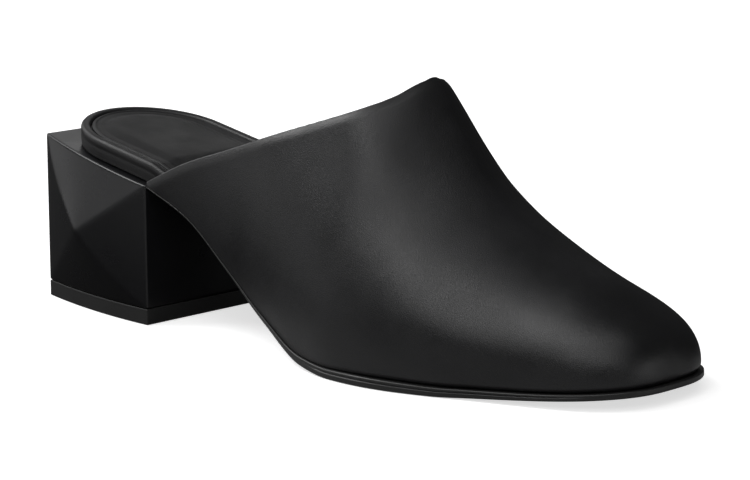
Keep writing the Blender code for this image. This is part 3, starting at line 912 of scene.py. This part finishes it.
@dataclass
class Footbed(Dressed):
    """The wrapped board, with a roll round the heel and a bed for the sock."""

    last: Last
    node: str = "footbed"
    slot: str = "wrapped_leather"
    wall: float = 0.0016
    gap: float = 0.0006
    rim_height: float = 0.0074
    fore_thickness: float = 0.0026
    back_inset: float = 0.0045
    back_rounding: float = 0.0285
    band: float = 0.0038
    fade_share: float = 0.30
    recess: float = 0.0016
    across: int = 8
    # share of the roll's width lost, share of the height
    profile: tuple[Pair, ...] = (
        (0.30, 0.00), (0.16, 0.03), (0.10, 0.08), (0.07, 0.16), (0.05, 0.26), (0.045, 0.36),
        (0.05, 0.46), (0.07, 0.53), (0.075, 0.57), (0.06, 0.62), (0.035, 0.68), (0.03, 0.74),
        (0.04, 0.80), (0.075, 0.86), (0.13, 0.91), (0.20, 0.95), (0.29, 0.98), (0.40, 0.995),
        (0.52, 1.00), (0.64, 0.995), (0.75, 0.98), (0.84, 0.955), (0.90, 0.92), (0.94, 0.875),
        (0.97, 0.82),
    )
    finish: Leather = Leather("wrapped_lining_leather", (0.013, 0.013, 0.0135), 0.44, cell=0.0007,
                              specular=0.38)

    def __post_init__(self) -> None:
        """Places the stations, with their width shares, from the round back to the tip."""
        last = self.last
        centre = self.back_inset + self.back_rounding
        rounding = last.toe_rounding - (last.sole_edge + self.wall + self.gap)
        x, share = last.stations(centre, rounding)
        angle = np.linspace(0.0, math.pi / 2, last.cap_stations + 1)[:-1]
        self.x = np.concatenate([centre - self.back_rounding * np.cos(angle), x])
        self.share = np.concatenate([np.sin(angle), share])

    def height(self, x: Array, share: float) -> Array:
        """Height of the board at a share of its thickness, which fades from roll to forepart."""
        last = self.last
        along = (np.asarray(x, float) - last.heel_length) / (self.fade_share * last.forepart)
        thinned = (self.fore_thickness - self.rim_height) * smooth_step(along, 0.0, 1.0)
        return last.seat(x) + last.clearance + share * (self.rim_height + thinned)

    def bed(self, x: Array) -> Array:
        """Height of the bed under the sock."""
        return self.height(x, 1.0) - self.recess

    def outline(self, side: float, inset: float) -> Array:
        """Plan place of the board's outline, closed at both ends."""
        last = self.last
        front = np.maximum(self.x, last.heel_length)
        full = side * (last.reach(side, front) - last.edge(front) - self.wall - self.gap - inset)
        centre = np.where(self.x > last.heel_length, last.toe_side_shift, 0.0)
        return centre + (full - centre) * self.share

    def level(self, inset: float, height: Callable[[Array], Array]) -> tuple[Array, ...]:
        """Outer and inner points of all stations at one height.

        Args:
            inset: how far they are drawn in.
            height: gives the height at a length.

        Returns:
            The outer and the inner points.
        """
        shift = np.where(self.x > self.last.heel_length, inset, -inset)
        drawn = self.x - shift * np.sqrt(1 - self.share * self.share)
        return tuple(self.last.place(drawn, self.outline(side.value, inset), height(drawn))
                     for side in Side)

    def build(self) -> Thing:
        """Builds the board with its roll as one closed form."""
        levels = [self.level(lost * self.band, lambda x, share=share: self.height(x, share))
                  for lost, share in self.profile]
        levels.append(self.level(self.band, self.bed))
        return closed_sheet("dressed_footbed", levels, self.across, [])


@dataclass
class Sock(Dressed):
    """The padded sock: a flat border, a soft crease and a low pillow inside it."""

    bed: Footbed
    node: str = "sock_lining"
    slot: str = "sock_leather"
    thickness: float = 0.0009
    border: float = 0.0060
    crease_width: float = 0.0022
    crease_depth: float = 0.00025
    pillow: float = 0.0007
    lip: float = 0.0003
    lip_place: float = 0.0007
    lip_width: float = 0.0005
    rows: int = 64
    row_ease: float = 0.8
    # how far the edge is drawn in, and the share of the thickness there
    profile: tuple[Pair, ...] = ((0.0, 0.0), (0.0, 0.6), (0.0002, 0.9), (0.0005, 1.0))
    finish: Leather = Leather("soft_sock_leather", (0.012, 0.012, 0.0125), 0.48, cell=0.0007,
                              specular=0.28)

    def build(self) -> Thing:
        """Builds the sock as one closed pad."""
        clearance = self.bed.last.clearance
        levels = [
            self.bed.level(self.bed.band + clearance + inset, lambda x, share=share:
                           self.bed.bed(x) + clearance + share * self.thickness)
            for inset, share in self.profile
        ]
        top = between(*levels[-1], eased(self.rows, self.row_ease)[1:-1])
        for row in top:
            self._pad(row, np.concatenate(levels[-1])[:, :2])
        return closed_sheet("padded_sock", levels, self.bed.across, top)

    def _pad(self, row: Array, rim: Array) -> None:
        """Raises a row of the top by its distance from the sock's edge.

        Args:
            row: the row's points.
            rim: plan places of the edge.
        """
        away = np.linalg.norm(row[:, None, :2] - rim[None], axis=-1).min(axis=1)
        step = smooth_step(away, self.border - self.crease_width, self.border + self.crease_width)
        dip = np.exp(-((away - self.border + self.crease_width) / (0.5 * self.crease_width)) ** 2)
        lip = np.exp(-((away - self.lip_place) / self.lip_width) ** 2)
        row[:, 2] += self.pillow * step - self.crease_depth * dip + self.lip * lip

    def dress(self, piece: Thing) -> None:
        """Gives the sock its soft leather."""
        super().dress(piece)


@dataclass
class HeelBlock(Dressed):
    """The block heel: a raised pyramid with bowed creases on each side and the back."""

    last: Last
    node: str = "heel_block"
    slot: str = "heel_lacquer"
    back_width: float = 0.050
    side_bulge: float = 0.0020
    rise: float = 0.0080
    upper_bow: float = 0.0024
    lower_bow: float = 0.0020
    lift_thickness: float = 0.0055
    cuts: int = 47
    evening: float = 0.4
    edge_round: float = 0.00045
    finish: Moulded = Moulded("satin_heel_lacquer", (0.0085, 0.0085, 0.0095), 0.29)

    def half_width(self, x: Array) -> Array:
        """Half the block's width at a length."""
        share = np.asarray(x, float) / self.last.heel_length
        half = (self.back_width + (self.last.breast_width - self.back_width) * share) / 2
        return half + 4 * self.side_bulge * share * (1 - share)

    def _frame_point(self, a: float, b: float, c: float) -> Array:
        """A point of the plain block from three places between -1 and 1."""
        last = self.last
        x = (a + 1) / 2 * last.heel_length
        low = self.lift_thickness + last.clearance
        high = float(last.seat(min(x, last.heel_length)))
        return last.place(x, b * self.half_width(x), low + (c + 1) / 2 * (high - low))

    def _faceted(self, p: float, q: float, point: Callable[[float, float], Array],
                 out: Array, bows: dict[tuple[int, int], Array]) -> Array:
        """A point of a face raised into a pyramid.

        Args:
            p: place along the face, -1 to 1.
            q: place up the face, -1 to 1.
            point: gives the plain face's point at two places.
            out: the way the apex stands out.
            bows: how each crease bows sideways, by its corner.

        Returns:
            The raised point.
        """
        r = max(abs(p), abs(q))
        corners = {key: point(*key) for key in ((-1, -1), (1, -1), (1, 1), (-1, 1))}
        apex = sum(corners.values()) / 4 + out * (self.rise + self.side_bulge)
        if r == 0:
            return apex

        def crease(key: tuple[int, int]) -> Array:
            """A point of the crease from a corner to the apex."""
            return corners[key] * r + apex * (1 - r) + bows.get(key, np.zeros(3)) * 4 * r * (1 - r)

        p, q = p / r, q / r
        if abs(q) == 1:
            first, second, t = (-1, round(q)), (1, round(q)), (p + 1) / 2
        else:
            first, second, t = (round(p), -1), (round(p), 1), (q + 1) / 2
        straight = corners[first] * (1 - t) + corners[second] * t
        bulge = (point(p, q) - straight) * r
        return crease(first) * (1 - t) + crease(second) * t + bulge

    def _moved(self, co: Vector) -> Array:
        """Where a vertex of the plain cube goes."""
        a, b, c = co
        if abs(b) > 1 - ON_FACE:
            sign = math.copysign(1.0, b)
            bows = {(-1, 1): np.array([-self.upper_bow, 0, 0]),
                    (1, -1): np.array([0, 0, -self.lower_bow])}
            return self._faceted(a, c, lambda p, q: self._frame_point(p, sign, q),
                                 np.array([0, sign, 0]), bows)
        if a < ON_FACE - 1:
            return self._faceted(b, c, lambda p, q: self._frame_point(-1, p, q),
                                 np.array([-1.0, 0, 0]), {})
        return self._frame_point(a, b, c)

    def build(self) -> Thing:
        """Builds the block from a finely cut cube."""
        bm = cut_cube(self.cuts)
        inside = []
        for vert in bm.verts:
            limits = sum(abs(abs(k) - 1) < ON_FACE for k in vert.co)
            if limits == 1 and (abs(vert.co.y) > 1 - ON_FACE or vert.co.x < ON_FACE - 1):
                inside.append(vert)
            vert.tag = limits >= 2
            vert.co = self._moved(vert.co)
        rims = [edge for edge in bm.edges if all(vert.tag for vert in edge.verts)]
        bmesh.ops.smooth_vert(bm, verts=inside, factor=self.evening, use_axis_x=True,
                              use_axis_y=True, use_axis_z=True)
        round_rims(bm, rims, self.edge_round)
        return piece_from(bm, "dressed_heel_block")


@dataclass
class TopLift(Dressed):
    """The flat rubber lift under the block."""

    block: HeelBlock
    node: str = "top_lift"
    slot: str = "lift_rubber"
    cuts: int = 23
    edge_round: float = 0.00035
    rim_angle: float = 60.0
    finish: Moulded = Moulded("matte_lift_rubber", (0.020, 0.020, 0.020), 0.55, 0.00002, 900.0)

    def build(self) -> Thing:
        """Builds the lift from a cut cube with the block's plan."""
        bm = cut_cube(self.cuts)
        for vert in bm.verts:
            a, b, c = vert.co
            x = (a + 1) / 2 * self.block.last.heel_length
            y = b * float(self.block.half_width(x))
            vert.co = self.block.last.place(x, y, (c + 1) / 2 * self.block.lift_thickness)
        sharp = math.radians(self.rim_angle)
        round_rims(bm, [e for e in bm.edges if e.calc_face_angle(0.0) > sharp], self.edge_round)
        return piece_from(bm, "dressed_top_lift")


@dataclass(frozen=True)
class Softbox:
    """A soft lamp that faces the shoe, given by where and how bright it looks from there."""

    name: str
    azimuth: float
    elevation: float
    spread: Pair
    radiance: float
    distance: float = 2.2
    target: Triple = (0.09, 0.0, 0.03)

    def build(self) -> None:
        """Makes the lamp."""
        a, e = math.radians(self.azimuth), math.radians(self.elevation)
        way = Vector((math.cos(a) * math.cos(e), math.sin(a) * math.cos(e), math.sin(e)))
        lamp = bpy.data.lights.new(self.name, "AREA")
        lamp.shape = "RECTANGLE"
        width, height = (2 * self.distance * math.tan(math.radians(angle) / 2)
                         for angle in self.spread)
        lamp.size, lamp.size_y = width, height
        lamp.energy = self.radiance * math.pi * width * height
        aimed(self.name, lamp, Vector(self.target) + way * self.distance, -way)


@dataclass
class Studio:
    """Camera, soft lamps and a pale floor, whose colour in reflections is painted shade and light.
    """

    camera_place: Triple = (0.7391, -0.6181, 0.2267)
    azimuth: float = 43.6
    elevation: float = 11.7
    focal_pixels: float = 2760.0
    turn_pixels: Pair = (-77.0, 17.0)
    photo_focal_pixels: float = 2400.0
    frame_width: int = 750
    sensor: float = 36.0
    nearest: float = 0.05
    floor_half_size: float = 6.0
    floor_drop: float = 0.0002
    floor_lift_to_eye: float = 0.66
    floor_palest: float = 0.86
    # painted shade and light: how pale the leather sees the floor, painted dark round and under
    # the shoe but pale on the outer side, by the toe and far in front
    floor_painted_shade_and_light: Pair = (0.03, 0.40)
    toe_way: Triple = (0.8, -0.6, 0.0)
    toe_fade: Pair = (0.07, 0.15)
    waist_fade: Pair = (0.02, 0.06)
    outer_fade: Pair = (0.00, -0.03)
    front_fade: Pair = (-0.28, -0.42)
    surroundings: float = 0.03
    lamps: tuple[Softbox, ...] = (
        Softbox("key_softbox", -146, 45, (28, 32), 5.4),
        Softbox("high_softbox", -116, 64, (54, 19), 2.4),
        Softbox("front_softbox", -50, 34, (60, 18), 2),
        Softbox("top_softbox", -38, 64, (50, 18), 1.6),
        Softbox("left_strip", -146, 7.5, (46, 11), 0.85),
        Softbox("side_fill", -116, 20, (20, 18), 0.45),
        Softbox("toe_strip", 20, 5, (38, 9), 1.9),
        Softbox("back_panel", 178, 26, (36, 36), 0.9),
        Softbox("seat_card", 136, 25, (22, 18), 0.65),
    )

    def forward(self) -> Vector:
        """The way the camera looks: the photo's own axis, turned to centre the one shoe."""
        a, e = math.radians(self.azimuth), math.radians(self.elevation)
        ahead = Vector((-math.sin(a) * math.cos(e), math.cos(a) * math.cos(e), -math.sin(e)))
        right = Vector((math.cos(a), math.sin(a), 0.0))
        across, down = (pixels / self.photo_focal_pixels for pixels in self.turn_pixels)
        return (ahead + right * across - right.cross(ahead) * down).normalized()

    def build(self) -> None:
        """Makes the camera, the lamps, the world and the floor."""
        data = bpy.data.cameras.new("photo_view")
        data.sensor_width = self.sensor
        data.sensor_fit = "HORIZONTAL"
        data.lens = self.focal_pixels / self.frame_width * self.sensor
        data.clip_start = self.nearest
        bpy.context.scene.camera = aimed("photo_view", data, self.camera_place, self.forward())
        for lamp in self.lamps:
            lamp.build()
        self._world()
        self._floor()

    def _world(self) -> None:
        """A pale backdrop to the eye, dim to what the leather mirrors."""
        world = bpy.data.worlds.new("pale_studio")
        world.use_nodes = True
        sockets = Sockets(world.node_tree)
        dim = world.node_tree.nodes["Background"]
        sockets.feed(dim, {"Color": (*[self.surroundings] * 3, 1.0)})
        pale = sockets.node("Background", {"Color": (1.0, 1.0, 1.0, 1.0)})
        seen = sockets.node("LightPath").outputs["Is Camera Ray"]
        mix = sockets.node("MixShader", {"Fac": seen, 1: dim.outputs[0], 2: pale.outputs[0]})
        sockets.feed(world.node_tree.nodes["World Output"], {"Surface": mix.outputs[0]})
        bpy.context.scene.world = world

    def _painted_floor_shade_and_light(self, sockets: Sockets, value: Socket, fade: Pair) -> Socket:
        """Painted shade and light in the floor's colour for reflected rays, from dark to pale
        between two places.
        """
        turn = 1 if fade[0] < fade[1] else -1
        return sockets.ranged(value, fade[::turn], self.floor_painted_shade_and_light[::turn])

    def _floor(self) -> None:
        """A wide floor, lifted to the backdrop's paleness where the eye meets it, with painted
        shade and light in what the leather mirrors.
        """
        bm = bmesh.new()
        bmesh.ops.create_grid(bm, x_segments=1, y_segments=1, size=self.floor_half_size)
        bmesh.ops.translate(bm, verts=bm.verts, vec=(0.0, 0.0, -self.floor_drop))
        mesh = bpy.data.meshes.new("pale_floor_with_painted_shade")
        bm.to_mesh(mesh)
        bm.free()
        material, sockets, shader = new_material("pale_floor_with_painted_shade")
        place = sockets.node("TexCoord").outputs["Object"]
        ahead = sockets.node("VectorMath", {0: place, 1: self.toe_way}, operation="DOT_PRODUCT")
        apart = sockets.node("SeparateXYZ", {0: place}).outputs
        # painted shade and light: the mirrored floor is dark under and round the shoe, pale by the
        # toe, on the outer side past the waist and far in front
        painted_light_by_toe = self._painted_floor_shade_and_light(sockets, ahead.outputs["Value"], self.toe_fade)
        painted_light_past_waist = self._painted_floor_shade_and_light(sockets, apart["X"], self.waist_fade)
        outer = self._painted_floor_shade_and_light(sockets, apart["Y"], self.outer_fade)
        painted_light_in_front = self._painted_floor_shade_and_light(sockets, apart["Y"], self.front_fade)
        tone = sockets.maths("MAXIMUM", painted_light_by_toe, sockets.maths("MINIMUM", painted_light_past_waist, outer))
        eye = sockets.node("LightPath").outputs["Is Camera Ray"]
        tone = sockets.maths("MAXIMUM", sockets.maths("MAXIMUM", tone, painted_light_in_front), eye)
        sockets.feed(shader, {"Base Color": sockets.maths("MINIMUM", tone, self.floor_palest),
                              "Roughness": 0.9, "Specular IOR Level": 0.1})
        strength = sockets.maths("MULTIPLY", eye, self.floor_lift_to_eye)
        lift = sockets.node("Emission", {"Strength": strength}).outputs["Emission"]
        both = sockets.node("AddShader", {0: shader.outputs["BSDF"], 1: lift}).outputs["Shader"]
        sockets.feed(material.node_tree.nodes["Material Output"], {"Surface": both})
        mesh.materials.append(material)
        shown("pale_floor_with_painted_shade", mesh)


def main() -> None:
    """Builds the shoe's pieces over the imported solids, in order."""
    logging.basicConfig(level=logging.INFO, format="%(name)s: %(message)s")
    for old in list(bpy.data.objects):
        bpy.data.objects.remove(old, do_unlink=True)
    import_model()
    last = Last()
    bed = Footbed(last)
    block = HeelBlock(last)
    for part in (Upper(last), Outsole(last), bed, Sock(bed), block, TopLift(block)):
        part.dress(part.build())
    Studio().build()
    bpy.context.scene.view_settings.view_transform = "Standard"


if __name__ == "__main__":
    main()
